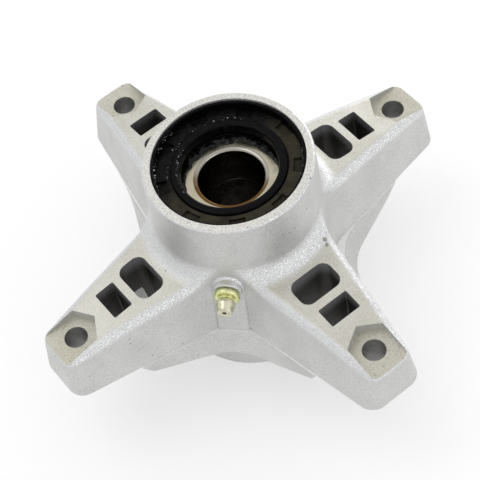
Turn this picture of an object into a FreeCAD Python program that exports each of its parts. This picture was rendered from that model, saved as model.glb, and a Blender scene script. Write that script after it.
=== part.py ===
"""Spindle housing of a mower deck: a four-armed casting with two sealed tapered roller bearings.

Millimetres, +Z up along the spindle axis. The origin is the centre of the lower hub's end face.
The grease fitting points along -Y and the four arms lie at 45 degrees to the X and Y axes.
"""
import FreeCAD
import Part
import os
from math import asin, cos, hypot, pi, radians, sin, sqrt, tan

V = FreeCAD.Vector
AXIS = V(0, 0, 1)
ORIGIN = V(0, 0, 0)

# Hub of the casting
HUB_HEIGHT = 83.5
HUB_TOP_DIAMETER = 57.8
HUB_WAIST_DIAMETER = 60.8
HUB_BOTTOM_DIAMETER = 59.8
HUB_EDGE_RADIUS = 0.9

# Arms of the casting
ARM_COUNT = 4
MOUNT_FACE_HEIGHT = 33.2
ARM_REACH = 81.1
ARM_TIP_WIDTH = 21.4
ARM_TAPER_DEG = 10.5
ARM_DRAFT_DEG = 10.0
ARM_END_DRAFT_DEG = 5.5
ARM_TIP_CORNER_RADIUS = 6.0
ARM_CROTCH_RADIUS = 9.0
ARM_CROTCH_GROWTH = 2.7
ARM_ROOT_TOP_HEIGHT = 57.5
ARM_TOP_SLOPE_DEG = 6.3
ARM_TIP_SLOPE_DEG = 9.6
ARM_TOP_BEND_RADIUS = 60.0
ARM_EDGE_RADIUS = 3.8
HUB_FOOT_RADIUS = 7.5
HUB_FOOT_SINK = 0.15

# Bolt seats at the arm tips
BOLT_EDGE_DISTANCE = 10.73
BOLT_HOLE_DIAMETER = 8.0
BOLT_SEAT_HEIGHT = 49.4
HEX_POCKET_FLATS = 15.0
HEX_POCKET_END_DEPTH = 1.2

# Lightening slots in the arms
ROUND_SLOT_START = 36.6
ROUND_SLOT_LENGTH = 10.2
ROUND_SLOT_WIDTH = 16.1
ROUND_SLOT_CORNER = 3.4
SQUARE_SLOT_START = 49.8
SQUARE_SLOT_LENGTH = 7.4
SQUARE_SLOT_WIDTH = 11.8
SQUARE_SLOT_CORNER = 0.6
SLOT_SPLIT_DEPTH = 4.5
SLOT_SPLIT_STEP = 0.4
SLOT_DRAFT_DEG = 1.0

# Skirt below the arms that drops into the deck opening
SKIRT_DEPTH = 7.7
SKIRT_TOP_REACH = 57.5
SKIRT_BOTTOM_REACH = 53.7
SKIRT_LEDGE = 0.35
SKIRT_BOTTOM_WIDTH = 29.7
SKIRT_CROTCH_DISTANCE = 38.0
SKIRT_CROTCH_RADIUS = 20.0

# Grease fitting and its boss
NIPPLE_HEIGHT = 53.3
NIPPLE_SEAT_DISTANCE = 32.9
BOSS_WIDTH = 11.7
BOSS_FACE_DISTANCE = 31.6
BOSS_FOOT_DISTANCE = 35.0
BOSS_EDGE_RADIUS = 1.2
BOSS_RING_DIAMETER = 10.2
BOSS_RING_EDGE_RADIUS = 0.35
NIPPLE_COLLAR_DIAMETER = 8.8
NIPPLE_COLLAR_LENGTH = 2.2
NIPPLE_COLLAR_RADIUS = 0.9
NIPPLE_NECK_DIAMETER = 4.9
NIPPLE_NECK_LENGTH = 0.7
NIPPLE_HEAD_DIAMETER = 6.5
NIPPLE_HEAD_LENGTH = 1.9
NIPPLE_TIP_DIAMETER = 5.0
NIPPLE_NOSE_LENGTH = 2.8
NIPPLE_STEM_DIAMETER = 6.3
NIPPLE_STEM_LENGTH = 9.0
NIPPLE_PASSAGE_DIAMETER = 2.6
NIPPLE_OUTLET_DIAMETER = 1.5
NIPPLE_MOUTH_DIAMETER = 1.5
NIPPLE_TIP_WALL = 0.4
NIPPLE_EDGE_RADIUS = 0.35
BALL_DIAMETER = 2.2
BALL_CLEARANCE = 0.03
SPRING_COIL_DIAMETER = 2.1
SPRING_WIRE_DIAMETER = 0.3
SPRING_LENGTH = 7.0
SPRING_TURNS = 6

# Tapered roller bearings
CONE_BORE_DIAMETER = 21.986
CONE_WIDTH = 16.637
CONE_BORE_CORNER = 1.3
CONE_RIB_DIAMETER = 34.2
CONE_RIB_CORNER = 0.5
CONE_FRONT_RIB_HEIGHT = 0.9
CUP_DIAMETER = 45.237
CUP_WIDTH = 12.065
CUP_CORNER = 1.2
CUP_ANGLE_DEG = 12.5
CUP_RACE_MEAN_DIAMETER = 38.6
BEARING_WIDTH = 15.494
ROLLER_COUNT = 15
ROLLER_DIAMETER = 5.2
ROLLER_LENGTH = 9.6
ROLLER_CENTRE_DEPTH = 8.7
ROLLER_CORNER = 0.3
RACE_CLEARANCE = 0.04
ROLLER_END_CLEARANCE = 0.06
CAGE_THICKNESS = 0.9
CAGE_OFFSET = 0.95
CAGE_RING_WIDTH = 1.2
CAGE_FLANGE_DEPTH = 1.3
CAGE_POCKET_CLEARANCE = 0.2

# Shaft seals and the bearing cavity
SEAL_DIAMETER = 52.0
SEAL_WIDTH = 8.0
SEAL_RECESS = 0.8
SEAL_LIP_DIAMETER = 33.7
SEAL_RIM_WIDTH = 1.1
SEAL_FACE_DEPTH = 3.0
SEAL_LIP_RING_WIDTH = 2.9
SEAL_LIP_RING_RISE = 1.0
SEAL_LIP_RING_RADIUS = 0.9
SEAL_WALL = 2.0
SEAL_LEG_WIDTH = 2.6
SEAL_LIP_LENGTH = 4.7
SEAL_LIP_THICKNESS = 1.1
SEAL_EDGE_POSITION = 0.65
SEAL_EDGE_INTERFERENCE = 0.45
SEAL_EDGE_RADIUS = 0.35
SEAL_NOTCH_COUNT = 9
SEAL_NOTCH_ANGLE_DEG = 14.5
SEAL_NOTCH_PHASE_DEG = 4.0
SEAL_NOTCH_WIDTH = 3.6
SEAL_NOTCH_DEPTH = 1.0
GARTER_DIAMETER = 1.5
GARTER_CLEARANCE = 0.05
CONE_SEAL_GAP = 0.3
CUP_SHOULDER_WIDTH = 3.2

# Spacer tube between the two cones
SPACER_OUTER_DIAMETER = 27.6
SPACER_BORE_CLEARANCE = 0.2
SPACER_END_CLEARANCE = 0.15

# Heights and distances that follow from the sizes above
SEAL_SEAT_DEPTH = SEAL_RECESS + SEAL_WIDTH
CONE_FACE_DEPTH = SEAL_SEAT_DEPTH + CONE_SEAL_GAP
SHOULDER_DEPTH = CONE_FACE_DEPTH + BEARING_WIDTH
ARM_LIMIT_HEIGHT = ARM_ROOT_TOP_HEIGHT + HUB_FOOT_RADIUS + HUB_EDGE_RADIUS
SKIRT_HEIGHT = MOUNT_FACE_HEIGHT - SKIRT_DEPTH
ARM_ANGLES = [360 / ARM_COUNT * (index + 0.5) for index in range(ARM_COUNT)]
BOLT_RADIUS = ARM_REACH - BOLT_EDGE_DISTANCE

# Roller geometry: every race meets the axis at one apex
CUP_ANGLE = radians(CUP_ANGLE_DEG)
APEX_DEPTH = ROLLER_CENTRE_DEPTH + CUP_RACE_MEAN_DIAMETER / 2 / tan(CUP_ANGLE)
ROLLER_DISTANCE = CUP_RACE_MEAN_DIAMETER / 2 / sin(CUP_ANGLE)
ROLLER_HALF_ANGLE = asin(ROLLER_DIAMETER / 2 / ROLLER_DISTANCE)
ROLLER_AXIS_ANGLE = CUP_ANGLE - ROLLER_HALF_ANGLE
ROLLER_NEAR = ROLLER_DISTANCE - ROLLER_LENGTH / 2
ROLLER_FAR = ROLLER_DISTANCE + ROLLER_LENGTH / 2


def rounded_loop(corners, plane):
    """Closed wire through (x, y, radius) corners, with plane(x, y) placing each point in space."""
    edges = []
    starts = []
    ends = []
    middles = []
    count = len(corners)
    for index in range(count):
        x, y, radius = corners[index]
        before = corners[index - 1]
        after = corners[(index + 1) % count]
        corner = V(x, y, 0)
        back = V(before[0] - x, before[1] - y, 0).normalize()
        ahead = V(after[0] - x, after[1] - y, 0).normalize()
        half = back.getAngle(ahead) / 2
        reach = radius / tan(half)
        bisector = (back + ahead).normalize()
        starts.append(corner + back * reach)
        ends.append(corner + ahead * reach)
        middles.append(corner + bisector * (radius / sin(half) - radius))
    for index in range(count):
        start, middle, end = (plane(p.x, p.y) for p in (starts[index], middles[index], ends[index]))
        if corners[index][2] > 0:
            edges.append(Part.Arc(start, middle, end).toShape())
        following = starts[(index + 1) % count]
        edges.append(Part.LineSegment(end, plane(following.x, following.y)).toShape())
    return Part.Wire(edges)


def at_height(height):
    """Plane of a plan outline at one height."""
    return lambda x, y: V(x, y, height)


def section_plane(x, y):
    """Half section through the axis: x is the radius, y the height."""
    return V(x, 0, y)


def revolved(corners):
    """Solid turned about Z from (radius, height, corner radius) points."""
    return Part.Face(rounded_loop(corners, section_plane)).revolve(ORIGIN, AXIS, 360)


def turned(shape, angle):
    """Copy of a shape turned about the spindle axis."""
    copy = shape.copy()
    copy.rotate(ORIGIN, AXIS, angle)
    return copy


def prism(corners, bottom, top):
    """Straight prism of a plan outline between two heights."""
    return Part.Face(rounded_loop(corners, at_height(bottom))).extrude(V(0, 0, top - bottom))


def polar(angle, along, across):
    """Plan point at a distance along and across the direction of an angle in degrees."""
    a = radians(angle)
    return along * cos(a) - across * sin(a), along * sin(a) + across * cos(a)


def star_wire(height):
    """Plan outline of the four arms at one height, drawn in by the draft above the mounting face."""
    rise = height - MOUNT_FACE_HEIGHT
    inset = rise * tan(radians(ARM_DRAFT_DEG))
    slope = tan(radians(ARM_TAPER_DEG))
    reach = ARM_REACH - rise * tan(radians(ARM_END_DRAFT_DEG))
    centre_half = ARM_TIP_WIDTH / 2 + ARM_REACH * slope - inset * hypot(1, slope)
    tip_half = centre_half - reach * slope
    tip_corner = ARM_TIP_CORNER_RADIUS * tip_half / (ARM_TIP_WIDTH / 2)
    half_step = 180 / ARM_COUNT
    crotch_along = centre_half / (tan(radians(half_step)) + slope)
    crotch = crotch_along / cos(radians(half_step))
    corners = []
    for angle in ARM_ANGLES:
        corners.append((*polar(angle, reach, -tip_half), tip_corner))
        corners.append((*polar(angle, reach, tip_half), tip_corner))
        corners.append((*polar(angle + half_step, crotch, 0), ARM_CROTCH_RADIUS + inset * ARM_CROTCH_GROWTH))
    return rounded_loop(corners, at_height(height))


def hub_radius(height):
    """Radius of the hub's outside above the mounting face."""
    share = (height - MOUNT_FACE_HEIGHT) / (HUB_HEIGHT - MOUNT_FACE_HEIGHT)
    return (HUB_WAIST_DIAMETER + (HUB_TOP_DIAMETER - HUB_WAIST_DIAMETER) * share) / 2


def arm_top_height(radius):
    """Height of the inner, gently sloping part of an arm's top."""
    return ARM_ROOT_TOP_HEIGHT - (radius - HUB_TOP_DIAMETER / 2) * tan(radians(ARM_TOP_SLOPE_DEG))


def arm_roof():
    """Turned solid whose upper face is the arms' top: a foot fillet at the hub, then two slopes."""
    foot = hub_radius(ARM_ROOT_TOP_HEIGHT) - HUB_FOOT_SINK
    foot_top = hub_radius(ARM_LIMIT_HEIGHT) - HUB_FOOT_SINK
    tip_slope = tan(radians(ARM_TIP_SLOPE_DEG))
    top_slope = tan(radians(ARM_TOP_SLOPE_DEG))
    tip_height = BOLT_SEAT_HEIGHT + HEX_POCKET_END_DEPTH
    tip_end = ARM_REACH - (tip_height - MOUNT_FACE_HEIGHT) * tan(radians(ARM_END_DRAFT_DEG))
    bend = (arm_top_height(0) - tip_height - tip_end * tip_slope) / (top_slope - tip_slope)
    limit = ARM_REACH + ARM_TIP_WIDTH
    return revolved([
        (0, SKIRT_HEIGHT, 0),
        (limit, SKIRT_HEIGHT, 0),
        (limit, tip_height - (limit - tip_end) * tip_slope, 0),
        (bend, arm_top_height(bend), ARM_TOP_BEND_RADIUS),
        (foot, arm_top_height(foot), HUB_FOOT_RADIUS),
        (foot_top, ARM_LIMIT_HEIGHT, 0),
        (0, ARM_LIMIT_HEIGHT, 0),
    ])


def arms():
    """The four arms with their rounded top edges."""
    star = Part.makeLoft([star_wire(MOUNT_FACE_HEIGHT), star_wire(ARM_LIMIT_HEIGHT)], True, True)
    body = star.common(arm_roof()).Solids[0]
    top_edges = []
    for edge in body.Edges:
        on_top = MOUNT_FACE_HEIGHT < edge.BoundBox.ZMin and edge.BoundBox.ZMax < ARM_LIMIT_HEIGHT
        if on_top and edge.Curve.TypeId == "Part::GeomBSplineCurve":
            top_edges.append(edge)
    return body.makeFillet(ARM_EDGE_RADIUS, top_edges)


def hub():
    """Outer form of the bearing hub, drafted both ways from the mounting face."""
    return revolved([
        (0, 0, 0),
        (HUB_BOTTOM_DIAMETER / 2, 0, HUB_EDGE_RADIUS),
        (HUB_WAIST_DIAMETER / 2, MOUNT_FACE_HEIGHT, 0),
        (HUB_TOP_DIAMETER / 2, HUB_HEIGHT, HUB_EDGE_RADIUS),
        (0, HUB_HEIGHT, 0),
    ])


def skirt_wire(height, reach, half_width, crotch):
    """Plan outline of the skirt at one height: blunt ends under the arms and hollow sides between."""
    corners = []
    for angle in ARM_ANGLES:
        corners.append((*polar(angle, reach, -half_width), 0))
        corners.append((*polar(angle, reach, half_width), 0))
        corners.append((*polar(angle + 180 / ARM_COUNT, crotch, 0), SKIRT_CROTCH_RADIUS))
    return rounded_loop(corners, at_height(height))


def skirt():
    """Skirt below the mounting face, with a narrow ledge around the arms' roots and flared between them."""
    slope = tan(radians(ARM_TAPER_DEG))
    top_half = ARM_TIP_WIDTH / 2 + (ARM_REACH - SKIRT_TOP_REACH) * slope + SKIRT_LEDGE
    centre_half = top_half + SKIRT_TOP_REACH * slope
    half_step = radians(180 / ARM_COUNT)
    top_crotch = centre_half / (tan(half_step) + slope) / cos(half_step)
    top = skirt_wire(MOUNT_FACE_HEIGHT, SKIRT_TOP_REACH, top_half, top_crotch)
    bottom = skirt_wire(SKIRT_HEIGHT, SKIRT_BOTTOM_REACH, SKIRT_BOTTOM_WIDTH / 2, SKIRT_CROTCH_DISTANCE)
    return Part.makeLoft([bottom, top], True, True)


def fitting_boss():
    """Arch-topped pad for the grease fitting in the crotch between the two front arms, with its ring."""
    half = BOSS_WIDTH / 2
    inner = SEAL_DIAMETER / 2
    lean = (BOSS_FOOT_DISTANCE - BOSS_FACE_DISTANCE) / (NIPPLE_HEIGHT - MOUNT_FACE_HEIGHT)
    top = NIPPLE_HEIGHT + BOSS_WIDTH
    face_top = BOSS_FACE_DISTANCE - lean * BOSS_WIDTH
    foot = BOSS_FOOT_DISTANCE + lean * SKIRT_DEPTH
    outline = [(-inner, SKIRT_HEIGHT, 0), (-inner, top, 0), (-face_top, top, 0), (-foot, SKIRT_HEIGHT, 0)]
    wedge = Part.Face(rounded_loop(outline, lambda y, z: V(-half, y, z))).extrude(V(BOSS_WIDTH, 0, 0))
    arch = Part.makeCylinder(half, foot, V(0, -foot, NIPPLE_HEIGHT), V(0, 1, 0))
    post = Part.makeBox(BOSS_WIDTH, foot, NIPPLE_HEIGHT - SKIRT_HEIGHT, V(-half, -foot, SKIRT_HEIGHT))
    pad = wedge.common(arch.fuse(post).removeSplitter())
    front = min(pad.Faces, key=lambda face: face.CenterOfMass.y)
    rounded = [edge for edge in front.Edges if edge.BoundBox.ZMax > MOUNT_FACE_HEIGHT]
    ring = revolved([
        (0, inner - NIPPLE_SEAT_DISTANCE, 0),
        (BOSS_RING_DIAMETER / 2, inner - NIPPLE_SEAT_DISTANCE, 0),
        (BOSS_RING_DIAMETER / 2, 0, BOSS_RING_EDGE_RADIUS),
        (0, 0, 0),
    ])
    return pad.makeFillet(BOSS_EDGE_RADIUS, rounded).fuse(fitting_place(ring))


def slot_core(start, length, width, corner, levels):
    """Drafted core of a slot on the +X side between two (height, growth on all sides) levels."""
    wires = []
    for height, grow in levels:
        half = width / 2 + grow
        end = start + length + grow
        outline = [(start - grow, -half, corner), (end, -half, corner),
                   (end, half, corner), (start - grow, half, corner)]
        wires.append(rounded_loop(outline, at_height(height)))
    return Part.makeLoft(wires, True, True)


def slot(start, length, width, corner):
    """Through slot cored from both sides, a little wider below the line where the cores meet."""
    draft = tan(radians(SLOT_DRAFT_DEG))
    top = arm_top_height(start + length / 2)
    split = top - SLOT_SPLIT_DEPTH
    upper_levels = [(split, (split - top) * draft), (ARM_LIMIT_HEIGHT, (ARM_LIMIT_HEIGHT - top) * draft)]
    lower_levels = [(0, SLOT_SPLIT_STEP + split * draft), (split, SLOT_SPLIT_STEP)]
    upper = slot_core(start, length, width, corner, upper_levels)
    return upper.fuse(slot_core(start, length, width, corner, lower_levels))


def bolt_seat():
    """Hexagonal nut pocket with its corner towards the hub, open at the arm's end, and its hole."""
    half = HEX_POCKET_FLATS / 2
    corner = half / cos(pi / 6)
    outline = [(BOLT_RADIUS - corner, 0, 0), (BOLT_RADIUS - corner / 2, -half, 0),
               (ARM_REACH, -half, 0), (ARM_REACH, half, 0), (BOLT_RADIUS - corner / 2, half, 0)]
    pocket = prism(outline, BOLT_SEAT_HEIGHT, ARM_LIMIT_HEIGHT)
    hole = Part.makeCylinder(BOLT_HOLE_DIAMETER / 2, HUB_HEIGHT, V(BOLT_RADIUS, 0, 0))
    return pocket.fuse(hole)


def bearing_bores():
    """Turned core of the hub: seal seats, cup seats and the grease cavity between the shoulders."""
    seal = SEAL_DIAMETER / 2
    cup = CUP_DIAMETER / 2
    cavity = cup - CUP_SHOULDER_WIDTH
    half = [(seal, 0), (seal, SEAL_SEAT_DEPTH), (cup, SEAL_SEAT_DEPTH),
            (cup, SHOULDER_DEPTH), (cavity, SHOULDER_DEPTH)]
    lower = [(radius, depth, 0) for radius, depth in half]
    upper = [(radius, HUB_HEIGHT - depth, 0) for radius, depth in reversed(half)]
    return revolved([(0, 0, 0)] + lower + upper + [(0, HUB_HEIGHT, 0)])


def fitting_place(shape):
    """Set a shape made along +Z from the fitting's seat onto the boss, pointing along -Y."""
    shape.rotate(ORIGIN, V(1, 0, 0), 90)
    shape.translate(V(0, -NIPPLE_SEAT_DISTANCE, NIPPLE_HEIGHT))
    return shape


def housing():
    """The casting with its bores, slots, bolt seats and fitting hole."""
    body = hub().fuse([arms(), skirt(), fitting_boss()])
    arm_cuts = [
        slot(ROUND_SLOT_START, ROUND_SLOT_LENGTH, ROUND_SLOT_WIDTH, ROUND_SLOT_CORNER),
        slot(SQUARE_SLOT_START, SQUARE_SLOT_LENGTH, SQUARE_SLOT_WIDTH, SQUARE_SLOT_CORNER),
        bolt_seat(),
    ]
    cuts = [bearing_bores()]
    for angle in ARM_ANGLES:
        cuts += [turned(shape, angle) for shape in arm_cuts]
    hole_end = V(0, 0, -NIPPLE_SEAT_DISTANCE)
    cuts.append(fitting_place(Part.makeCylinder(NIPPLE_STEM_DIAMETER / 2, NIPPLE_SEAT_DISTANCE, hole_end)))
    return body.cut(cuts).removeSplitter().Solids[0]


# Distances along the grease fitting's axis, from its seat
COLLAR_END = NIPPLE_COLLAR_LENGTH
NECK_END = COLLAR_END + NIPPLE_NECK_LENGTH
HEAD_END = NECK_END + NIPPLE_HEAD_LENGTH
TIP_END = HEAD_END + NIPPLE_NOSE_LENGTH
BALL_SEAT = TIP_END - NIPPLE_TIP_WALL
BALL_RADIUS = BALL_DIAMETER / 2
BALL_CENTRE = BALL_SEAT - sqrt(BALL_RADIUS ** 2 - (NIPPLE_MOUTH_DIAMETER / 2) ** 2) - BALL_CLEARANCE
PASSAGE_FLOOR = BALL_CENTRE - BALL_RADIUS - SPRING_LENGTH


def fitting_body():
    """Turned grease fitting: pressed stem, round collar, neck, coupler head and tapered nose."""
    flare = (NIPPLE_HEAD_DIAMETER - NIPPLE_NECK_DIAMETER) / 2
    outside = revolved([
        (0, -NIPPLE_STEM_LENGTH, 0),
        (NIPPLE_STEM_DIAMETER / 2, -NIPPLE_STEM_LENGTH, NIPPLE_EDGE_RADIUS),
        (NIPPLE_STEM_DIAMETER / 2, 0, 0),
        (NIPPLE_COLLAR_DIAMETER / 2, 0, NIPPLE_COLLAR_RADIUS),
        (NIPPLE_COLLAR_DIAMETER / 2, COLLAR_END, NIPPLE_COLLAR_RADIUS),
        (NIPPLE_NECK_DIAMETER / 2, COLLAR_END, NIPPLE_EDGE_RADIUS),
        (NIPPLE_NECK_DIAMETER / 2, NECK_END, NIPPLE_EDGE_RADIUS),
        (NIPPLE_HEAD_DIAMETER / 2, NECK_END + flare, NIPPLE_EDGE_RADIUS),
        (NIPPLE_HEAD_DIAMETER / 2, HEAD_END, NIPPLE_EDGE_RADIUS),
        (NIPPLE_TIP_DIAMETER / 2, TIP_END, NIPPLE_EDGE_RADIUS),
        (0, TIP_END, 0),
    ])
    floor = V(0, 0, PASSAGE_FLOOR)
    stem_end = V(0, 0, -NIPPLE_STEM_LENGTH)
    passage = Part.makeCylinder(NIPPLE_PASSAGE_DIAMETER / 2, BALL_SEAT - PASSAGE_FLOOR, floor)
    mouth = Part.makeCylinder(NIPPLE_MOUTH_DIAMETER / 2, TIP_END - PASSAGE_FLOOR, floor)
    outlet = Part.makeCylinder(NIPPLE_OUTLET_DIAMETER / 2, PASSAGE_FLOOR + NIPPLE_STEM_LENGTH, stem_end)
    return fitting_place(outside.cut([passage, mouth, outlet]))


def fitting_ball():
    """Check ball behind the fitting's mouth."""
    return fitting_place(Part.makeSphere(BALL_RADIUS, V(0, 0, BALL_CENTRE)))


def fitting_spring():
    """Coil spring that holds the check ball shut."""
    wire = SPRING_WIRE_DIAMETER / 2
    coil = (SPRING_COIL_DIAMETER - SPRING_WIRE_DIAMETER) / 2
    rise = SPRING_LENGTH - SPRING_WIRE_DIAMETER - 2 * BALL_CLEARANCE
    helix = Part.makeHelix(rise / SPRING_TURNS, rise, coil)
    section = Part.Wire([Part.Circle(V(coil, 0, 0), V(0, 1, 0), wire).toShape()])
    spring = Part.Wire(helix.Edges).makePipeShell([section], True, True)
    spring.translate(V(0, 0, PASSAGE_FLOOR + wire + BALL_CLEARANCE))
    return fitting_place(spring)


def race_point(distance, offset):
    """Radius and depth at a distance from the apex along the roller axis and an offset outwards."""
    return (distance * sin(ROLLER_AXIS_ANGLE) + offset * cos(ROLLER_AXIS_ANGLE),
            APEX_DEPTH - distance * cos(ROLLER_AXIS_ANGLE) + offset * sin(ROLLER_AXIS_ANGLE))


def roller_solid(growth, end_growth, chamfer):
    """One tapered roller on the +X side of a bearing, optionally grown for its cage pocket."""
    near = ROLLER_NEAR - end_growth
    far = ROLLER_FAR + end_growth
    radius, depth = race_point(near, 0)
    base = V(radius, 0, depth)
    direction = V(sin(ROLLER_AXIS_ANGLE), 0, -cos(ROLLER_AXIS_ANGLE))
    near_radius = near * tan(ROLLER_HALF_ANGLE) + growth
    far_radius = far * tan(ROLLER_HALF_ANGLE) + growth
    roller = Part.makeCone(near_radius, far_radius, far - near, base, direction)
    if chamfer:
        rims = [edge for edge in roller.Edges if edge.Curve.TypeId == "Part::GeomCircle"]
        roller = roller.makeChamfer(chamfer, rims)
    return roller


def bearing_cone():
    """Inner ring: bore, guide rib at the back face, tapered race and a low front rib."""
    bore = CONE_BORE_DIAMETER / 2
    rib = CONE_RIB_DIAMETER / 2
    taper = tan(ROLLER_HALF_ANGLE)
    back = ROLLER_FAR + ROLLER_END_CLEARANCE
    front = ROLLER_NEAR - ROLLER_END_CLEARANCE
    rib_offset = (rib - back * sin(ROLLER_AXIS_ANGLE)) / cos(ROLLER_AXIS_ANGLE)
    front_rib = race_point(front, CONE_FRONT_RIB_HEIGHT - front * taper)
    return revolved([
        (bore, 0, CONE_BORE_CORNER),
        (rib, 0, CONE_RIB_CORNER),
        (*race_point(back, rib_offset), 0),
        (*race_point(back, -back * taper), 0),
        (*race_point(front, -front * taper), 0),
        (*front_rib, 0),
        (front_rib[0], CONE_WIDTH, CONE_RIB_CORNER),
        (bore, CONE_WIDTH, CONE_RIB_CORNER),
    ])


def bearing_cup():
    """Outer ring with its tapered race."""
    outer = CUP_DIAMETER / 2
    open_end = BEARING_WIDTH - CUP_WIDTH
    return revolved([
        (outer, open_end, CONE_RIB_CORNER),
        (outer, BEARING_WIDTH, CUP_CORNER),
        ((APEX_DEPTH - BEARING_WIDTH) * tan(CUP_ANGLE), BEARING_WIDTH, CONE_RIB_CORNER),
        ((APEX_DEPTH - open_end) * tan(CUP_ANGLE), open_end, 0),
    ])


def bearing_cage():
    """Pressed conical cage with one window for each roller and a turned-in flange at its small end."""
    inner = CAGE_OFFSET - CAGE_THICKNESS / 2
    outer = CAGE_OFFSET + CAGE_THICKNESS / 2
    small = ROLLER_NEAR - CAGE_POCKET_CLEARANCE - CAGE_RING_WIDTH
    large = ROLLER_FAR + CAGE_POCKET_CLEARANCE + CAGE_RING_WIDTH
    flange = inner - CAGE_FLANGE_DEPTH
    section = [(small, outer), (large, outer), (large, inner), (small + CAGE_THICKNESS, inner),
               (small + CAGE_THICKNESS, flange), (small, flange)]
    shell = revolved([(*race_point(distance, offset), 0) for distance, offset in section])
    window = roller_solid(CAGE_POCKET_CLEARANCE, CAGE_POCKET_CLEARANCE, 0)
    return shell.cut([turned(window, 360 / ROLLER_COUNT * index) for index in range(ROLLER_COUNT)])


def shaft_seal():
    """Moulded seal: rim, recessed face with shallow notches, lip ring and sealing lip."""
    outer = SEAL_DIAMETER / 2
    lip = SEAL_LIP_DIAMETER / 2
    ring_top = SEAL_FACE_DEPTH - SEAL_LIP_RING_RISE
    lip_end = ring_top + SEAL_LIP_LENGTH
    lip_edge = ring_top + SEAL_LIP_LENGTH * SEAL_EDGE_POSITION
    web = SEAL_FACE_DEPTH + SEAL_WALL
    rim = outer - SEAL_RIM_WIDTH
    body = revolved([
        (outer, 0, SEAL_EDGE_RADIUS),
        (outer, SEAL_WIDTH, SEAL_EDGE_RADIUS),
        (outer - SEAL_LEG_WIDTH, SEAL_WIDTH, SEAL_EDGE_RADIUS),
        (outer - SEAL_LEG_WIDTH, web, SEAL_EDGE_RADIUS),
        (lip + SEAL_LIP_THICKNESS, web, SEAL_EDGE_RADIUS),
        (lip + SEAL_LIP_THICKNESS, lip_end, SEAL_EDGE_RADIUS),
        (lip, lip_end, 0),
        (lip - SEAL_EDGE_INTERFERENCE, lip_edge, 0),
        (lip, ring_top, SEAL_LIP_RING_RADIUS),
        (lip + SEAL_LIP_RING_WIDTH, ring_top, SEAL_LIP_RING_RADIUS),
        (lip + SEAL_LIP_RING_WIDTH, SEAL_FACE_DEPTH, 0),
        (rim, SEAL_FACE_DEPTH, 0),
        (rim, 0, SEAL_EDGE_RADIUS),
    ])
    floor = SEAL_FACE_DEPTH + SEAL_NOTCH_DEPTH
    inner = rim - SEAL_NOTCH_WIDTH
    section = [(inner, 0, 0), (rim, 0, 0), (rim, floor, 0), (inner, floor, 0)]
    notch = Part.Face(rounded_loop(section, section_plane)).revolve(ORIGIN, AXIS, SEAL_NOTCH_ANGLE_DEG)
    first = -SEAL_NOTCH_PHASE_DEG - SEAL_NOTCH_ANGLE_DEG / 2
    step = 360 / SEAL_NOTCH_COUNT
    return body.cut([turned(notch, first + step * index) for index in range(SEAL_NOTCH_COUNT)])


def garter_spring():
    """Closed garter spring behind the sealing lip."""
    ring = SEAL_LIP_DIAMETER / 2 + SEAL_LIP_THICKNESS + GARTER_CLEARANCE + GARTER_DIAMETER / 2
    depth = SEAL_FACE_DEPTH + SEAL_WALL + GARTER_CLEARANCE + GARTER_DIAMETER / 2
    return Part.makeTorus(ring, GARTER_DIAMETER / 2, V(0, 0, depth))


def bearing_spacer():
    """Tube that stands on the lower cone and keeps the two cones apart."""
    bottom = CONE_FACE_DEPTH + CONE_WIDTH
    top = HUB_HEIGHT - bottom - SPACER_END_CLEARANCE
    inner = CONE_BORE_DIAMETER / 2 + SPACER_BORE_CLEARANCE
    tube = Part.makeCylinder(SPACER_OUTER_DIAMETER / 2, top - bottom, V(0, 0, bottom))
    return tube.cut(Part.makeCylinder(inner, top - bottom, V(0, 0, bottom)))


def placed(shape, side, depth):
    """Set a shape made with +Z inwards at a depth below the hub's upper or lower end."""
    copy = shape.copy()
    if side == "upper":
        copy.rotate(ORIGIN, V(1, 0, 0), 180)
        copy.translate(V(0, 0, HUB_HEIGHT - depth))
    else:
        copy.translate(V(0, 0, depth))
    return copy


def pieces():
    """Every separate piece by name."""
    named = {
        "housing": housing(),
        "bearing_spacer": bearing_spacer(),
        "grease_fitting_body": fitting_body(),
        "grease_fitting_ball": fitting_ball(),
        "grease_fitting_spring": fitting_spring(),
    }
    seal = shaft_seal()
    garter = garter_spring()
    cup = bearing_cup()
    cone = bearing_cone()
    cage = bearing_cage()
    roller = roller_solid(-RACE_CLEARANCE, 0, ROLLER_CORNER)
    for side in ("upper", "lower"):
        named[side + "_seal"] = placed(seal, side, SEAL_RECESS)
        named[side + "_garter_spring"] = placed(garter, side, SEAL_RECESS)
        named[side + "_bearing_cup"] = placed(cup, side, CONE_FACE_DEPTH)
        named[side + "_bearing_cone"] = placed(cone, side, CONE_FACE_DEPTH)
        named[side + "_bearing_cage"] = placed(cage, side, CONE_FACE_DEPTH)
        for index in range(ROLLER_COUNT):
            one = turned(roller, 360 / ROLLER_COUNT * index)
            named[f"{side}_roller_{index + 1:02d}"] = placed(one, side, CONE_FACE_DEPTH)
    return named


os.makedirs("parts", exist_ok=True)
for name, shape in pieces().items():
    shape.exportStep(f"parts/{name}.step")
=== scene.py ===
"""Looks of a mower deck spindle housing: cast aluminium, oily seals and bearings, a zinc grease fitting."""
import math
import random
import bpy
import bmesh
from mathutils import Matrix, Quaternion, Vector


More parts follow.
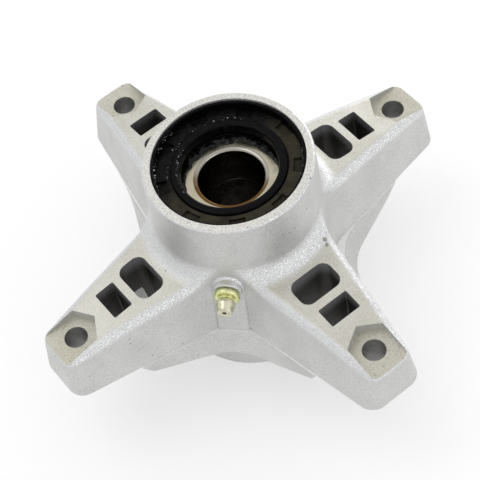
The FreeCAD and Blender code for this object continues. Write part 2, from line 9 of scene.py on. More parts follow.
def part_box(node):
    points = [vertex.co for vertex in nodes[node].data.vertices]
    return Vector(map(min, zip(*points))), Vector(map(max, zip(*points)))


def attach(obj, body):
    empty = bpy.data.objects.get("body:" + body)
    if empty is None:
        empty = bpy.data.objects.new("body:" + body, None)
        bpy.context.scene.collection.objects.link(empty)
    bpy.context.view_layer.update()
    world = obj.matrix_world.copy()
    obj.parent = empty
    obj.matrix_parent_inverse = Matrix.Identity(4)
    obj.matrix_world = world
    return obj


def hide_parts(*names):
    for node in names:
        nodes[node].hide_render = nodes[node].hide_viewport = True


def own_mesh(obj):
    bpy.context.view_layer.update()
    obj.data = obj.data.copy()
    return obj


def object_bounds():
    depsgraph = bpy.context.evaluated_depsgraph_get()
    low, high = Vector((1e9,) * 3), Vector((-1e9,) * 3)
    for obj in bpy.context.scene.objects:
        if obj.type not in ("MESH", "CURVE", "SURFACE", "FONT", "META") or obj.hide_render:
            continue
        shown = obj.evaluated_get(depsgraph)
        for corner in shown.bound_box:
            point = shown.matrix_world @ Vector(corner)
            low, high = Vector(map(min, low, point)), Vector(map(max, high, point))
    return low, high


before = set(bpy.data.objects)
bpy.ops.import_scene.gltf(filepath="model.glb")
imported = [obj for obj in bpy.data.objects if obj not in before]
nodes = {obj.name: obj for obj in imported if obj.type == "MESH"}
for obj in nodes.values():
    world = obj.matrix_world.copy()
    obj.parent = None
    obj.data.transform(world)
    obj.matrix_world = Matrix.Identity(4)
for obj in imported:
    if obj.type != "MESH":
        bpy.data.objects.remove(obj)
cad_low, cad_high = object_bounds()

MM = 0.001
WHITE = (1.0, 1.0, 1.0)

# Camera of the photograph, in metres in the part's frame
CAMERA_PLACE = Vector((0.08364, -0.27883, 0.45679))
CAMERA_AIM = Vector((-0.0016, -0.0005, 0.037))
CAMERA_ROLL_DEG = -12.37
CAMERA_LENS = 108.1

# Light in metres and watts: white surroundings, softboxes low behind, high at the left and at the right
WORLD_LEVEL = 0.92
SOFTBOX_SIZE = 0.6
BACK_PLACE = (0.2, 1.1, 0.22)
BACK_POWER = 4.0
TOP_PLACE = (-0.5, 0.1, 1.0)
TOP_POWER = 1.3
SIDE_PLACE = (0.9, -0.5, 0.55)
SIDE_POWER = 0.9

# Floor: width in metres, distance below the hub, grey, roughness and a glow of its own
FLOOR_SIZE = 6
FLOOR_DROP = 0.05 * MM
FLOOR_TONE = 0.55
FLOOR_ROUGHNESS = 0.8
FLOOR_GLOW = 0.42

# Distances from the spindle axis and heights that the finishes follow
HUB_TOP = cad_high.z
MOUNT_FACE = 33.2 * MM
SEAL_RIM_RADIUS = 24.9 * MM
SEAL_LIP_RADIUS = 19.75 * MM
NIPPLE_NECK = -35.6 * MM
CONE_BORE_RADIUS = 10.993 * MM
CONE_CHAMFER_RADIUS = 13.0 * MM
SLOT_MIDDLE = 46.9 * MM
SLOT_HALF_LENGTH = 11.2 * MM
SLOT_HALF_WIDTH = 8.7 * MM
# Heights between which the slots' walls get painted shade, darkest at SLOT_DARK
SLOT_TOP = 55.5 * MM
SLOT_DARK = 47.0 * MM
BOLT_PLACE = 49.76 * MM
BOLT_SEAT = 49.4 * MM
BOLT_HOLE_RADIUS = 4.0 * MM
CUTTER_PITCH = 0.55 * MM

# Nearness at which a surface counts as part of a face or hole
LEDGE_NEAR = 0.1 * MM
SEAT_NEAR = 0.2 * MM
HOLE_NEAR = 0.05 * MM

# Widths and borders over which one look fades into the next
RIM_FADE = (HUB_TOP - 0.4 * MM, HUB_TOP - 0.2 * MM)
SEAL_LIP_FADE = 0.4 * MM
SEAL_RIM_FADE = 0.5 * MM
CHAMFER_FADE = 0.3 * MM
BORE_FADE = 0.25 * MM
NECK_FADE = 0.3 * MM
# Border between the seal face's dirty front and its far side, kept black as painted shade
DIRT_SHADE_BORDER = (-5 * MM, 14 * MM)
RUST_BORDER = (-7 * MM, 4 * MM)
RUST_RAGGED = 3 * MM
# Border and fade of the cone face's dark smudge behind: painted shade and reflection of the seal, partly
# grease
SMUDGE_SHADE_BORDER = (0.0, 9 * MM)
SMUDGE_SHADE_RAGGED = 4 * MM
SMUDGE_SHADE_FADE = 2 * MM

# Texture of the casting: sizes of its lumps and depths of its relief
MOTTLE_SIZE = 16 * MM
GRAIN_SIZE = 0.42 * MM
GRAIN_DEPTH = 0.08 * MM
PEEL_SIZE = 2.2 * MM
PEEL_DEPTH = 0.12 * MM
# Size of the painted glints on the rounded edges
PAINTED_GLINT_SIZE = 0.48 * MM
PIT_SPACING = 4 * MM
PIT_PATCH_SIZE = 30 * MM
SAND_SIZE = 0.6 * MM
SEAT_DIRT_SIZE = 1.1 * MM
# Size of the lumps in the painted shade of the bolt holes
HOLE_SHADE_SIZE = 3 * MM

# Texture of the seals, bearings, grease and fitting: sizes of lumps and depths of relief
SMEAR_SIZE = 5 * MM
BEAD_SIZE = 1.3 * MM
BEAD_DEPTH = 0.2 * MM
OIL_FILM_SIZE = 6 * MM
GROUND_SIZE = 0.6 * MM
GROUND_DEPTH = 0.01 * MM
STREAK_SIZE = 2.2 * MM
RIPPLE_SIZE = 1.4 * MM
RIPPLE_DEPTH = 0.08 * MM
OIL_CLOUD_SIZE = 0.8 * MM
STEEL_FILM_SIZE = 2.5 * MM
STEEL_GRAIN_SIZE = 0.8 * MM
STEEL_GRAIN_DEPTH = 0.02 * MM
ZINC_CLOUD_SIZE = 2.2 * MM
ZINC_SPECK_SIZE = 1.0 * MM
ZINC_GRAIN_SIZE = 0.5 * MM
ZINC_GRAIN_DEPTH = 0.01 * MM

# Dents that knocks left on the casting, drawn only as painted shade: place and size in millimetres
DENTS = [((31.2, -12.9, 57.3), 1.6), ((32.0, -14.2, 57.0), 1.3), ((9.8, -26.6, 83.4), 0.8),
         ((27.8, -6.5, 83.4), 0.9), ((27.2, 10.1, 83.4), 0.7)]

# Shares of a dent's size where it starts to fade and where it ends, and how ragged its border is
DENT_CORE = 0.35
DENT_EDGE = 0.75
DENT_RAGGED = 0.4 * MM

# Tones of the casting
WALL_TONES = (0.60, 0.605, 0.595), (0.655, 0.655, 0.645)
TOP_TONES = (0.60, 0.585, 0.515), (0.665, 0.655, 0.60)
# Pale tone of the rounded edges: painted sheen
EDGE_SHEEN_TONE = (0.68, 0.685, 0.69)
SPECK_SHADE = (0.77, 0.77, 0.77)
# Near-white tone of the mounting face's ledge: painted highlight
LEDGE_HIGHLIGHT_TONE = (0.95, 0.95, 0.94)
PIT_TONE = (0.2, 0.195, 0.185)
# Dark tone of the dents: painted shade
DENT_SHADE_TONE = (0.22, 0.21, 0.18)
RIM_TONES = (0.5, 0.49, 0.45), (0.73, 0.72, 0.685)
SEAT_RING_SHADES = (0.80, 0.79, 0.74), (1.0, 0.99, 0.95)
SEAT_DIRT_SHADE = (0.3, 0.28, 0.22)
# Darkening of the bolt holes' walls: painted shade
HOLE_SHADES = (0.34, 0.335, 0.33), (0.66, 0.65, 0.64)
# Tones of the painted shade in the slots
SLOT_SHADES = (0.08, 0.075, 0.065), (0.5, 0.5, 0.52)

# Tones of the seals, bearings, grease and fitting
RUBBER_TONE = (0.0015, 0.0015, 0.002)
DRIED_GREASE_TONE = (0.046, 0.040, 0.026)
GROUND_TONES = (0.46, 0.425, 0.315), (0.56, 0.525, 0.41)
# Tone of the cone face's dark smudge: painted shade and reflection of the seal, partly grease
SMUDGE_SHADE_TONE = (0.07, 0.065, 0.052)
CHAMFER_TONE = (0.38, 0.36, 0.315)
RUST_TONE = (0.13, 0.07, 0.024)
# Dark tone of the cone's bore: painted shade, partly greasy steel
BORE_SHADE_TONE = (0.11, 0.093, 0.072)
GREASE_TONES = (0.003, 0.003, 0.003), (0.05, 0.049, 0.04)
# Dark oil and pale painted glints of the oil beads
OIL_GLINT_TONES = (0.006, 0.006, 0.007), (0.42, 0.45, 0.5)
ROLLER_TONES = (0.03, 0.03, 0.03), (0.16, 0.16, 0.165)
CAGE_TONES = (0.02, 0.02, 0.02), (0.09, 0.085, 0.075)
SPRING_TONES = (0.42, 0.42, 0.42), (0.58, 0.58, 0.57)
# Near-black tones of the bearing spacer: painted shade inside the bore, partly oil
SPACER_SHADE_TONES = (0.015, 0.014, 0.012), (0.05, 0.045, 0.04)
COLLAR_TONES = (0.64, 0.66, 0.31), (0.80, 0.80, 0.46)
NOSE_TONES = (0.55, 0.535, 0.38), (0.74, 0.72, 0.56)
ZINC_SPECK_TONE = (0.12, 0.12, 0.09)

# Grease that lies on the far side of the upper cone's back face
CONE_FACE = 74.4 * MM
GREASE_SEED = 11
GREASE_FIRST_DEG = 8
GREASE_LAST_DEG = 212
GREASE_OUTER = 17.25 * MM
GREASE_WIDTH = 4.0 * MM
GREASE_HEIGHT = 1.05 * MM
GREASE_FILM = 0.02 * MM
GREASE_STEPS = 260
GREASE_ROWS = 22

# Shares of the grease's width at its two ends and of its height between lumps, and how bluntly it ends
GREASE_END_SHARE = 0.12
GREASE_LEVEL_SHARE = 0.18
GREASE_SWELL_POWER = 0.4

# Lumps of the grease: number, ranges of place along and across, of size in millimetres and of height
GREASE_LUMPS = 90
LUMP_ALONG = (0.02, 0.98)
LUMP_ACROSS = (0.1, 0.95)
LUMP_SIZES = (0.5, 1.3)
LUMP_RISES = (0.2, 1.0)

# Bays of the grease's inner border: number and range of their shares of the width
GREASE_BAYS = 23
BAY_SHARES = (0.62, 1.0)

# Beads of oil on the seal: first and last angle, radii, heights and number of each group
DROPS = [(148, 208, (24.6, 24.85), (80.1, 82.4), 46), (-28, 18, (24.6, 24.85), (80.2, 82.3), 26),
         (85, 200, (19.95, 21.2), (79.65, 79.75), 34), (158, 222, (17.1, 17.9), (80.5, 80.62), 40)]
DROP_SEED = 5
DROP_SIZES = (0.1, 0.26)
DROP_STRETCHES = (0.6, 1.6)
DROP_SUBDIVISIONS = 2

# Coil spring in the grease fitting
SPRING_WIRE = 0.3 * MM
SPRING_TURNS = 6
SPRING_STEPS_PER_TURN = 28
SPRING_SIDES = 10

# Sockets of Blender's mix node when it mixes colours
MIX_COLOURS = (6, 7)
MIX_RESULT = 2


class Finish:
    """A Principled material and short calls that add and join its nodes."""

    def __init__(self, name, **values):
        self.material = bpy.data.materials.new(name)
        self.material.use_nodes = True
        self.tree = self.material.node_tree
        self.shader = self.tree.nodes["Principled BSDF"]
        self.place = self.add("ShaderNodeTexCoord").outputs["Object"]
        self.set(**values)

    def set(self, **values):
        """Give the shader's sockets values or node outputs; Base_Color stands for Base Color."""
        for name, value in values.items():
            self.feed(self.shader.inputs[name.replace("_", " ")], value)

    def feed(self, socket, value):
        """Join a node's output to a socket, or set the socket's value."""
        if isinstance(value, bpy.types.NodeSocket):
            self.tree.links.new(value, socket)
        else:
            socket.default_value = value

    def add(self, kind, inputs=None, **settings):
        """New node with these inputs and settings."""
        node = self.tree.nodes.new(kind)
        for name, value in settings.items():
            setattr(node, name, value)
        for name, value in (inputs or {}).items():
            self.feed(node.inputs[name], value)
        return node

    def noise(self, size, detail=2.0, roughness=0.5):
        """Noise from 0 to 1 with lumps of about this size in metres."""
        inputs = {"Vector": self.place, "Scale": 1 / size, "Detail": detail, "Roughness": roughness}
        return self.add("ShaderNodeTexNoise", inputs).outputs["Fac"]

    def cells(self, size):
        """Distance to scattered points about this far apart."""
        inputs = {"Vector": self.place, "Scale": 1 / size}
        return self.add("ShaderNodeTexVoronoi", inputs).outputs["Distance"]

    def math(self, operation, first, second=0.0):
        """Result of one operation on one or two values."""
        node = self.add("ShaderNodeMath", operation=operation)
        self.feed(node.inputs[0], first)
        self.feed(node.inputs[1], second)
        return node.outputs[0]

    def times(self, first, second):
        """Product of two masks or values."""
        return self.math("MULTIPLY", first, second)

    def gap(self, value, level):
        """Distance of a value from a level, above or below it."""
        return self.math("ABSOLUTE", self.math("SUBTRACT", value, level))

    def span(self, value, low, high, start=0.0, end=1.0):
        """Value mapped smoothly from low..high to start..end."""
        inputs = {"Value": value, "From Min": low, "From Max": high, "To Min": start, "To Max": end}
        return self.add("ShaderNodeMapRange", inputs, interpolation_type="SMOOTHSTEP").outputs["Result"]

    def mix(self, factor, first, second, blend="MIX"):
        """Blend of two colours, each a tuple or a node's output."""
        node = self.add("ShaderNodeMix", data_type="RGBA", blend_type=blend)
        self.feed(node.inputs["Factor"], factor)
        for index, colour in zip(MIX_COLOURS, (first, second)):
            joined = isinstance(colour, bpy.types.NodeSocket)
            self.feed(node.inputs[index], colour if joined else (*colour, 1))
        return node.outputs[MIX_RESULT]

    def shaded(self, tone, mask, shade):
        """Tone multiplied by a shade where the mask is set."""
        return self.mix(1.0, tone, self.mix(mask, WHITE, shade), "MULTIPLY")

    def part(self, axis):
        """One coordinate of the surface in the part's frame."""
        return self.add("ShaderNodeSeparateXYZ", {"Vector": self.place}).outputs[axis]

    def facing(self, axis):
        """One component of the surface's normal."""
        normal = self.add("ShaderNodeNewGeometry").outputs["Normal"]
        return self.add("ShaderNodeSeparateXYZ", {"Vector": normal}).outputs[axis]

    def radius(self):
        """Distance from the spindle axis."""
        return self.hypot(self.part("X"), self.part("Y"))

    def hypot(self, first, second):
        """Length of a line with these two components."""
        squares = [self.times(value, value) for value in (first, second)]
        return self.math("SQRT", self.math("ADD", *squares))

    def distance(self, place):
        """Distance from a place in millimetres."""
        inputs = {0: self.place, 1: [value * MM for value in place]}
        return self.add("ShaderNodeVectorMath", inputs, operation="DISTANCE").outputs["Value"]

    def bump(self, height, depth, below=None):
        """Bump of a depth in metres, over an earlier bump if one is given."""
        inputs = {"Height": height, "Distance": depth, "Strength": 1.0}
        if below is not None:
            inputs["Normal"] = below
        return self.add("ShaderNodeBump", inputs).outputs["Normal"]


def cast_aluminium():
    """Blasted die casting: grey walls, beige tops, rounded edges with painted sheen and glints, slots
    darkened with painted shade, and a faced rim.
    """
    finish = Finish("cast_aluminium", Metallic=0.7)
    up = finish.facing("Z")
    grain = finish.noise(GRAIN_SIZE, 2.0, 0.6)
    peel = finish.noise(PEEL_SIZE, 3.0, 0.55)
    tone = cast_skin(finish, up, grain)
    tone = pits_and_rim(finish, tone, up)
    # Cutter rings and dirt on the nut seats; painted shade in the bolt holes
    tone = finish.shaded(tone, *bolt_seats(finish, up))
    tone = dented(finish, tone, peel)
    # Painted shade on the slots' walls, darker downwards
    tone = finish.shaded(tone, *slot_painted_shade(finish, up))
    finish.set(Base_Color=tone)
    finish.set(Roughness=finish.span(grain, 0.25, 0.75, 0.4, 0.62))
    finish.set(Normal=finish.bump(grain, GRAIN_DEPTH, finish.bump(peel, PEEL_DEPTH)))
    return finish.material


def cast_skin(finish, up, grain):
    """Grey walls, beige tops, rounded edges with a painted pale sheen and painted white glints on those
    facing +X, and a painted highlight on the ledge at the mounting face.
    """
    height = finish.part("Z")
    rounded = finish.times(finish.span(up, 0.18, 0.55), finish.span(up, 0.88, 0.993, 1.0, 0.0))
    edge = finish.times(rounded, finish.math("GREATER_THAN", height, MOUNT_FACE))
    mottle = finish.noise(MOTTLE_SIZE, 4.0, 0.6)
    wall = finish.mix(finish.span(mottle, 0.35, 0.65), *WALL_TONES)
    flat = finish.mix(finish.span(mottle, 0.3, 0.7), *TOP_TONES)
    tone = finish.mix(finish.span(up, 0.84, 0.99), wall, flat)
    # Rounded edges paled: painted sheen
    tone = finish.mix(edge, tone, EDGE_SHEEN_TONE)
    speck = finish.mix(finish.span(grain, 0.34, 0.6), SPECK_SHADE, WHITE)
    tone = finish.mix(1.0, tone, speck, "MULTIPLY")
    # Painted highlight on the up-facing ledge at the mounting face
    at_ledge = finish.math("LESS_THAN", finish.gap(height, MOUNT_FACE), LEDGE_NEAR)
    tone = finish.mix(finish.times(at_ledge, finish.span(up, 0.8, 0.95)), tone, LEDGE_HIGHLIGHT_TONE)
    # Painted highlight: white glints on rounded edges that face +X, towards the side lamp
    lit = finish.span(finish.facing("X"), -0.3, 0.45, 0.3, 1.0)
    painted_glint = finish.span(finish.noise(PAINTED_GLINT_SIZE, 2.0, 0.7), 0.49, 0.64, 0.0, 0.9)
    return finish.mix(finish.times(finish.times(edge, lit), painted_glint), tone, WHITE)


def pits_and_rim(finish, tone, up):
    """Dark pits that come in patches, and the sandy look of the hub's faced rim."""
    pit = finish.span(finish.cells(PIT_SPACING), 0.05, 0.09, 1.0, 0.0)
    patch = finish.span(finish.noise(PIT_PATCH_SIZE), 0.48, 0.6)
    tone = finish.mix(finish.times(pit, patch), tone, PIT_TONE)
    rim = finish.times(finish.span(up, 0.9, 0.99), finish.span(finish.part("Z"), *RIM_FADE))
    sand = finish.span(finish.noise(SAND_SIZE, 3.0, 0.7), 0.36, 0.6)
    return finish.mix(rim, tone, finish.mix(sand, *RIM_TONES))


def dented(finish, tone, peel):
    """Dents drawn as painted shade: dark patches with ragged borders."""
    for place, size in DENTS:
        ragged = finish.span(peel, 0.3, 0.7, -DENT_RAGGED, DENT_RAGGED)
        from_dent = finish.math("ADD", finish.distance(place), ragged)
        dent = finish.span(from_dent, DENT_CORE * size * MM, DENT_EDGE * size * MM, 0.8, 0.0)
        tone = finish.mix(dent, tone, DENT_SHADE_TONE)
    return tone


def bolt_seats(finish, up):
    """Mask of the nut pockets' floors and holes, with rings and dirt on the floors and painted shade in the
    holes.
    """
    across = []
    for axis in "XY":
        across.append(finish.math("SUBTRACT", finish.math("ABSOLUTE", finish.part(axis)), BOLT_PLACE))
    from_hole = finish.hypot(*across)
    at_seat = finish.math("LESS_THAN", finish.gap(finish.part("Z"), BOLT_SEAT), SEAT_NEAR)
    seat = finish.times(at_seat, finish.span(up, 0.97, 0.99))
    wave = finish.math("SINE", finish.times(from_hole, 2 * math.pi / CUTTER_PITCH))
    rings = finish.mix(finish.span(wave, -1.0, 1.0), *SEAT_RING_SHADES)
    dirt = finish.span(finish.noise(SEAT_DIRT_SIZE, 3.0, 0.7), 0.60, 0.70, 0.0, 0.75)
    hole = finish.math("LESS_THAN", from_hole, BOLT_HOLE_RADIUS + HOLE_NEAR)
    # Painted shade inside the bolt holes
    hole_shade = finish.mix(finish.noise(HOLE_SHADE_SIZE, 3.0), *HOLE_SHADES)
    shade = finish.mix(hole, finish.mix(dirt, rings, SEAT_DIRT_SHADE), hole_shade)
    return finish.math("MAXIMUM", seat, hole), shade


def slot_painted_shade(finish, up):
    """Mask of the slots' walls and a painted shade that darkens them downwards."""
    across_x = finish.math("ABSOLUTE", finish.part("X"))
    across_y = finish.math("ABSOLUTE", finish.part("Y"))
    along = finish.times(finish.math("ADD", across_x, across_y), math.sqrt(0.5))
    across = finish.times(finish.math("SUBTRACT", across_x, across_y), math.sqrt(0.5))
    near_middle = finish.math("LESS_THAN", finish.gap(along, SLOT_MIDDLE), SLOT_HALF_LENGTH)
    near_line = finish.math("LESS_THAN", finish.math("ABSOLUTE", across), SLOT_HALF_WIDTH)
    wall = finish.times(finish.times(near_middle, near_line), finish.span(up, 0.3, 0.6, 1.0, 0.0))
    return wall, finish.mix(finish.span(finish.part("Z"), SLOT_DARK, SLOT_TOP), *SLOT_SHADES)


def seal_rubber():
    """Black oily rubber; the recessed face has brown dried grease on the near side, its far side is kept
    black as painted shade, with bumps of wet beads behind.
    """
    finish = Finish("seal_rubber", Specular_IOR_Level=0.08)
    radius = finish.radius()
    face = finish.times(finish.span(radius, SEAL_LIP_RADIUS, SEAL_LIP_RADIUS + SEAL_LIP_FADE),
                        finish.span(radius, SEAL_RIM_RADIUS - SEAL_RIM_FADE, SEAL_RIM_RADIUS, 1.0, 0.0))
    smear = finish.span(finish.noise(SMEAR_SIZE, 4.0, 0.65), 0.25, 0.7, 0.45, 1.0)
    # Brown dried grease only in front; the far side stays black as painted shade
    behind = finish.math("SUBTRACT", finish.part("Y"), finish.part("X"))
    front_dirt_back_shade = finish.span(behind, *DIRT_SHADE_BORDER, 1.0, 0.06)
    dirt = finish.times(finish.times(face, front_dirt_back_shade), smear)
    finish.set(Base_Color=finish.mix(dirt, RUBBER_TONE, DRIED_GREASE_TONE))
    finish.set(Roughness=finish.span(dirt, 0.0, 0.6, 0.22, 0.5))
    beads = finish.span(finish.noise(BEAD_SIZE, 3.0, 0.6), 0.5, 0.72)
    wet = finish.times(beads, finish.span(front_dirt_back_shade, 0.2, 0.8, 1.0, 0.15))
    finish.set(Normal=finish.bump(wet, BEAD_DEPTH))
    return finish.material


def bearing_steel():
    """Ground steel under oil, with a dark smudge behind outside the chamfer that is painted shade and
    reflection of the seal, partly grease; the bore's chamfer is clean behind and rusty in front, and the bore
    is darkened as painted shade.
    """
    finish = Finish("bearing_steel", Metallic=1.0)
    film = finish.noise(OIL_FILM_SIZE, 4.0, 0.6)
    radius = finish.radius()
    chamfer = finish.span(radius, CONE_CHAMFER_RADIUS - CHAMFER_FADE, CONE_CHAMFER_RADIUS, 1.0, 0.0)
    bore = finish.span(radius, CONE_BORE_RADIUS, CONE_BORE_RADIUS + BORE_FADE, 1.0, 0.0)
    rust = finish.span(ragged_depth(finish, film, RUST_RAGGED), *RUST_BORDER, 1.0, 0.0)
    outside = finish.span(radius, CONE_CHAMFER_RADIUS, CONE_CHAMFER_RADIUS + SMUDGE_SHADE_FADE, 0.0, 0.85)
    behind = finish.span(ragged_depth(finish, film, SMUDGE_SHADE_RAGGED), *SMUDGE_SHADE_BORDER)
    tone = finish.mix(finish.span(film, 0.3, 0.7), *GROUND_TONES)
    # Dark smudge on the face behind: painted shade and reflection of the seal, partly grease
    tone = finish.mix(finish.times(behind, outside), tone, SMUDGE_SHADE_TONE)
    tone = finish.mix(chamfer, tone, finish.mix(rust, CHAMFER_TONE, RUST_TONE))
    # Bore darkened: painted shade inside it, partly greasy steel
    tone = finish.mix(bore, tone, BORE_SHADE_TONE)
    finish.set(Base_Color=tone)
    finish.set(Roughness=finish.span(film, 0.3, 0.7, 0.16, 0.3))
    finish.set(Normal=finish.bump(finish.noise(GROUND_SIZE, 3.0), GROUND_DEPTH))
    return finish.material


def ragged_depth(finish, film, ragged):
    """Distance behind the spindle axis, made uneven by the oil film."""
    return finish.math("ADD", finish.part("Y"), finish.span(film, 0.2, 0.8, -ragged, ragged))


def wet_grease():
    """Black grease with a wet gloss and a few grey, emulsified streaks."""
    finish = Finish("wet_grease", Specular_IOR_Level=0.2)
    streak = finish.noise(STREAK_SIZE, 4.0, 0.65)
    finish.set(Base_Color=finish.mix(finish.span(streak, 0.56, 0.74), *GREASE_TONES))
    finish.set(Roughness=finish.span(streak, 0.3, 0.7, 0.08, 0.3))
    finish.set(Normal=finish.bump(finish.noise(RIPPLE_SIZE, 3.0, 0.6), RIPPLE_DEPTH))
    return finish.material


def oil_with_painted_glints():
    """Glossy beads of oil, some dark from what lies below them and some pale as painted glints."""
    finish = Finish("oil_with_painted_glints", Specular_IOR_Level=1.0)
    cloud = finish.noise(OIL_CLOUD_SIZE)
    # Pale beads: painted glints
    finish.set(Base_Color=finish.mix(finish.span(cloud, 0.5, 0.6), *OIL_GLINT_TONES))
    finish.set(Roughness=finish.span(cloud, 0.3, 0.7, 0.03, 0.12))
    return finish.material


def plain_steel(name, tones, low_rough, high_rough):
    """Steel between two tones and two roughnesses."""
    finish = Finish(name, Metallic=0.9)
    film = finish.noise(STEEL_FILM_SIZE, 4.0, 0.6)
    finish.set(Base_Color=finish.mix(finish.span(film, 0.3, 0.7), *tones))
    finish.set(Roughness=finish.span(film, 0.3, 0.7, low_rough, high_rough))
    finish.set(Normal=finish.bump(finish.noise(STEEL_GRAIN_SIZE, 3.0), STEEL_GRAIN_DEPTH))
    return finish.material


def yellow_zinc():
    """Yellow passivated zinc: greenish on the collar, worn pale on the nose, with a few dark specks."""
    finish = Finish("yellow_zinc", Metallic=1.0)
    cloud = finish.noise(ZINC_CLOUD_SIZE, 3.0, 0.6)
    blend = finish.span(cloud, 0.35, 0.65)
    on_collar = finish.span(finish.part("Y"), NIPPLE_NECK - NECK_FADE, NIPPLE_NECK + NECK_FADE)
    tone = finish.mix(on_collar, finish.mix(blend, *NOSE_TONES), finish.mix(blend, *COLLAR_TONES))
    speck = finish.span(finish.noise(ZINC_SPECK_SIZE, 2.0), 0.64, 0.72, 0.0, 0.7)
    finish.set(Base_Color=finish.mix(speck, tone, ZINC_SPECK_TONE))
    finish.set(Roughness=finish.span(cloud, 0.3, 0.7, 0.2, 0.36))
    finish.set(Normal=finish.bump(finish.noise(ZINC_GRAIN_SIZE, 2.0), ZINC_GRAIN_DEPTH))
    return finish.material


def dress_nodes():
    """Give every piece of the part its finish."""
    steel = bearing_steel()
    oily = plain_steel("oily_rollers", ROLLER_TONES, 0.12, 0.3)
    cage = plain_steel("oily_cage", CAGE_TONES, 0.15, 0.35)
    bright = plain_steel("bright_steel", SPRING_TONES, 0.18, 0.34)
    finishes = {
        "housing": cast_aluminium(),
        "grease_fitting_body": yellow_zinc(),
        "grease_fitting_ball": oily,
        "grease_fitting_spring": bright,
        # Spacer darkened: painted shade inside the bore, partly oil
        "bearing_spacer": plain_steel("oily_shaded_spacer", SPACER_SHADE_TONES, 0.2, 0.4),
        "seal": seal_rubber(),
        "garter_spring": bright,
        "bearing_cup": steel,
        "bearing_cone": steel,
        "bearing_cage": cage,
        "roller": oily,
    }
    for name, node in nodes.items():
        kind = name
        for side in ("upper_", "lower_"):
            kind = kind.removeprefix(side)
        if kind.startswith("roller"):
            kind = "roller"
        node.data.materials.clear()
        node.data.materials.append(finishes[kind])


def grease_smear():
    """Lumpy grease that lies on the far side of the upper cone's face and turns with it."""
    draw = random.Random(GREASE_SEED)
    lumps = []
    for _ in range(GREASE_LUMPS):
        along = draw.uniform(*LUMP_ALONG)
        across = draw.uniform(*LUMP_ACROSS)
        size = draw.uniform(*LUMP_SIZES) * MM
        rise = draw.uniform(*LUMP_RISES)
        lumps.append((along, across, size, rise))
    bays = [draw.uniform(*BAY_SHARES) for _ in range(GREASE_BAYS + 1)]
    shape = bmesh.new()
    top = []
    bottom = []
    for step in range(GREASE_STEPS + 1):
        along = step / GREASE_STEPS
        swell = math.sin(math.pi * along) ** GREASE_SWELL_POWER
        end_share = GREASE_END_SHARE + (1 - GREASE_END_SHARE) * swell
        width = GREASE_WIDTH * end_share * bay_share(along, bays)
        top.append(grease_row(shape, along, width, swell, lumps))
        bottom.append(grease_row(shape, along, width, swell, None))
    close_sheets(shape, top, bottom)
    grease = added_piece("cone_grease", shape, wet_grease())
    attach(grease, "upper_cone")


def bay_share(along, bays):
    """Share of the grease's width at a share of its length, eased from one bay to the next."""
    bay = min(int(along * GREASE_BAYS), GREASE_BAYS - 1)
    ease = (1 - math.cos(math.pi * (along * GREASE_BAYS - bay))) / 2
    return bays[bay] + (bays[bay + 1] - bays[bay]) * ease


def grease_row(shape, along, width, swell, lumps):
    """Points across the grease at a share of its length, on its lumps or, without any, on the cone's face."""
    sweep_deg = GREASE_LAST_DEG - GREASE_FIRST_DEG
    turn = math.radians(GREASE_FIRST_DEG + sweep_deg * along)
    row = []
    for index in range(GREASE_ROWS + 1):
        share = index / GREASE_ROWS
        radius = GREASE_OUTER - width * (1 - share)
        height = CONE_FACE
        if lumps:
            height += grease_height(along, share, swell, lumps, math.radians(sweep_deg) * radius)
        row.append(shape.verts.new((radius * math.cos(turn), radius * math.sin(turn), height)))
    return row


def grease_height(along, share, swell, lumps, arc):
    """Height of the grease at a share of its length and width, from its lumps."""
    height = 0.0
    for lump_along, lump_across, size, rise in lumps:
        across = (share - lump_across) * GREASE_WIDTH
        ahead = (along - lump_along) * arc
        height = max(height, rise * math.exp(-(across * across + ahead * ahead) / (size * size)))
    border = math.sqrt(math.sin(math.pi * share))
    level = GREASE_LEVEL_SHARE + (1 - GREASE_LEVEL_SHARE) * height
    return GREASE_FILM + GREASE_HEIGHT * swell * border * level


def close_sheets(shape, top, bottom):
    """Faces of an upper and a lower sheet of points and of the four sides between them."""
    columns = len(top[0]) - 1
    for row in range(len(top) - 1):
        for column in range(columns):
            for sheet in (top, bottom):
                near = sheet[row]
                far = sheet[row + 1]
                shape.faces.new([near[column], far[column], far[column + 1], near[column + 1]])
        for end in (0, -1):
            shape.faces.new([top[row][end], top[row + 1][end], bottom[row + 1][end], bottom[row][end]])
    for column in range(columns):
        for end in (0, -1):
            over = top[end]
            under = bottom[end]
            shape.faces.new([over[column], over[column + 1], under[column + 1], under[column]])
    bmesh.ops.recalc_face_normals(shape, faces=shape.faces)


def oil_drops():
    """Beads of oil on the seal's rim, face and lip."""
    draw = random.Random(DROP_SEED)
    shape = bmesh.new()
    for first, last, radii, heights, count in DROPS:
        for _ in range(count):
            turn = math.radians(draw.uniform(first, last))
            radius = draw.uniform(*radii) * MM
            height = draw.uniform(*heights) * MM
            size = draw.uniform(*DROP_SIZES) * MM
            stretch = draw.uniform(*DROP_STRETCHES)
            place = Vector((radius * math.cos(turn), radius * math.sin(turn), height))
            turned = Matrix.Translation(place) @ Matrix.Rotation(turn, 4, "Z")
            matrix = turned @ Matrix.Diagonal((1, stretch, 1, 1))
            bmesh.ops.create_icosphere(shape, subdivisions=DROP_SUBDIVISIONS, radius=size, matrix=matrix)
    drops = added_piece("oil_drops", shape, oil_with_painted_glints())
    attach(drops, "housing")


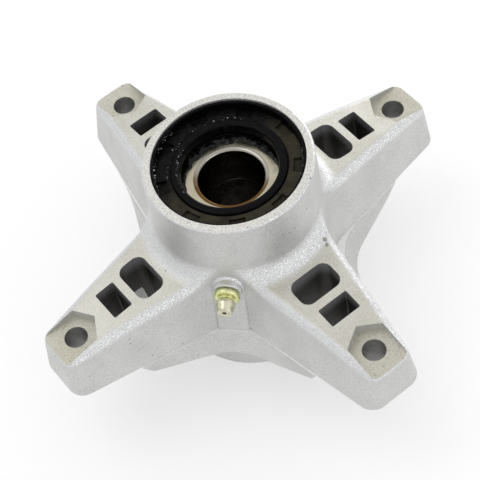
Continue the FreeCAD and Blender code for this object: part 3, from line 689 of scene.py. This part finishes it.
def fitting_spring():
    """Coil spring behind the check ball."""
    node = nodes["grease_fitting_spring"]
    low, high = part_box(node.name)
    middle = (low + high) / 2
    wire = SPRING_WIRE / 2
    coil = (high.x - low.x) / 2 - wire
    length = high.y - low.y
    steps = SPRING_TURNS * SPRING_STEPS_PER_TURN
    shape = bmesh.new()
    rings = []
    for step in range(steps + 1):
        turn = 2 * math.pi * step / SPRING_STEPS_PER_TURN
        outwards = Vector((math.cos(turn), 0, math.sin(turn)))
        along = high.y - wire - (length - SPRING_WIRE) * step / steps
        centre = Vector((middle.x, along, middle.z)) + outwards * coil
        rings.append(wire_ring(shape, centre, outwards, wire))
    for ring, after in zip(rings, rings[1:]):
        for side in range(SPRING_SIDES):
            following = (side + 1) % SPRING_SIDES
            shape.faces.new([ring[side], ring[following], after[following], after[side]])
    shape.faces.new(rings[0])
    shape.faces.new(rings[-1])
    bmesh.ops.recalc_face_normals(shape, faces=shape.faces)
    spring = added_piece("fitting_spring", shape, node.data.materials[0])
    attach(spring, "housing")
    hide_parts("grease_fitting_spring")
    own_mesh(spring)


def wire_ring(shape, centre, outwards, radius):
    """Points around the spring's wire at one place."""
    ring = []
    for side in range(SPRING_SIDES):
        around = 2 * math.pi * side / SPRING_SIDES
        offset = outwards * math.cos(around) + Vector((0, math.sin(around), 0))
        ring.append(shape.verts.new(centre + offset * radius))
    return ring


def added_piece(name, shape, material):
    """Smooth object made of a bmesh."""
    mesh = bpy.data.meshes.new(name)
    shape.to_mesh(mesh)
    shape.free()
    mesh.shade_smooth()
    mesh.materials.append(material)
    piece = bpy.data.objects.new(name, mesh)
    bpy.context.scene.collection.objects.link(piece)
    return piece


def make_camera():
    """Camera at the photograph's place and tilt."""
    data = bpy.data.cameras.new("camera")
    data.lens = CAMERA_LENS
    camera = bpy.data.objects.new("camera", data)
    upright = (CAMERA_AIM - CAMERA_PLACE).to_track_quat("-Z", "Y")
    camera.rotation_mode = "QUATERNION"
    camera.rotation_quaternion = upright @ Quaternion((0, 0, 1), math.radians(CAMERA_ROLL_DEG))
    camera.location = CAMERA_PLACE
    bpy.context.scene.collection.objects.link(camera)
    bpy.context.scene.camera = camera


def softbox(name, place, power):
    """Square area lamp that faces the part."""
    data = bpy.data.lights.new(name, "AREA")
    data.size = SOFTBOX_SIZE
    data.energy = power
    lamp = bpy.data.objects.new(name, data)
    lamp.location = place
    lamp.rotation_mode = "QUATERNION"
    lamp.rotation_quaternion = (-Vector(place)).to_track_quat("-Z", "Y")
    bpy.context.scene.collection.objects.link(lamp)


def make_world():
    """Even white surroundings."""
    world = bpy.data.worlds.new("studio")
    world.use_nodes = True
    background = world.node_tree.nodes["Background"]
    background.inputs["Color"].default_value = (*WHITE, 1)
    background.inputs["Strength"].default_value = WORLD_LEVEL
    bpy.context.scene.world = world


def make_floor():
    """Pale floor that the hub stands on."""
    bpy.ops.mesh.primitive_plane_add(size=FLOOR_SIZE, location=(0, 0, -FLOOR_DROP))
    floor = bpy.context.object
    floor.name = "floor"
    finish = Finish("floor", Base_Color=(FLOOR_TONE, FLOOR_TONE, FLOOR_TONE, 1), Roughness=FLOOR_ROUGHNESS,
                    Emission_Color=(*WHITE, 1), Emission_Strength=FLOOR_GLOW)
    floor.data.materials.append(finish.material)


dress_nodes()
grease_smear()
oil_drops()
fitting_spring()
make_camera()
make_world()
make_floor()
softbox("back_softbox", BACK_PLACE, BACK_POWER)
softbox("top_softbox", TOP_PLACE, TOP_POWER)
softbox("side_softbox", SIDE_PLACE, SIDE_POWER)
bpy.context.scene.view_settings.view_transform = "Standard"
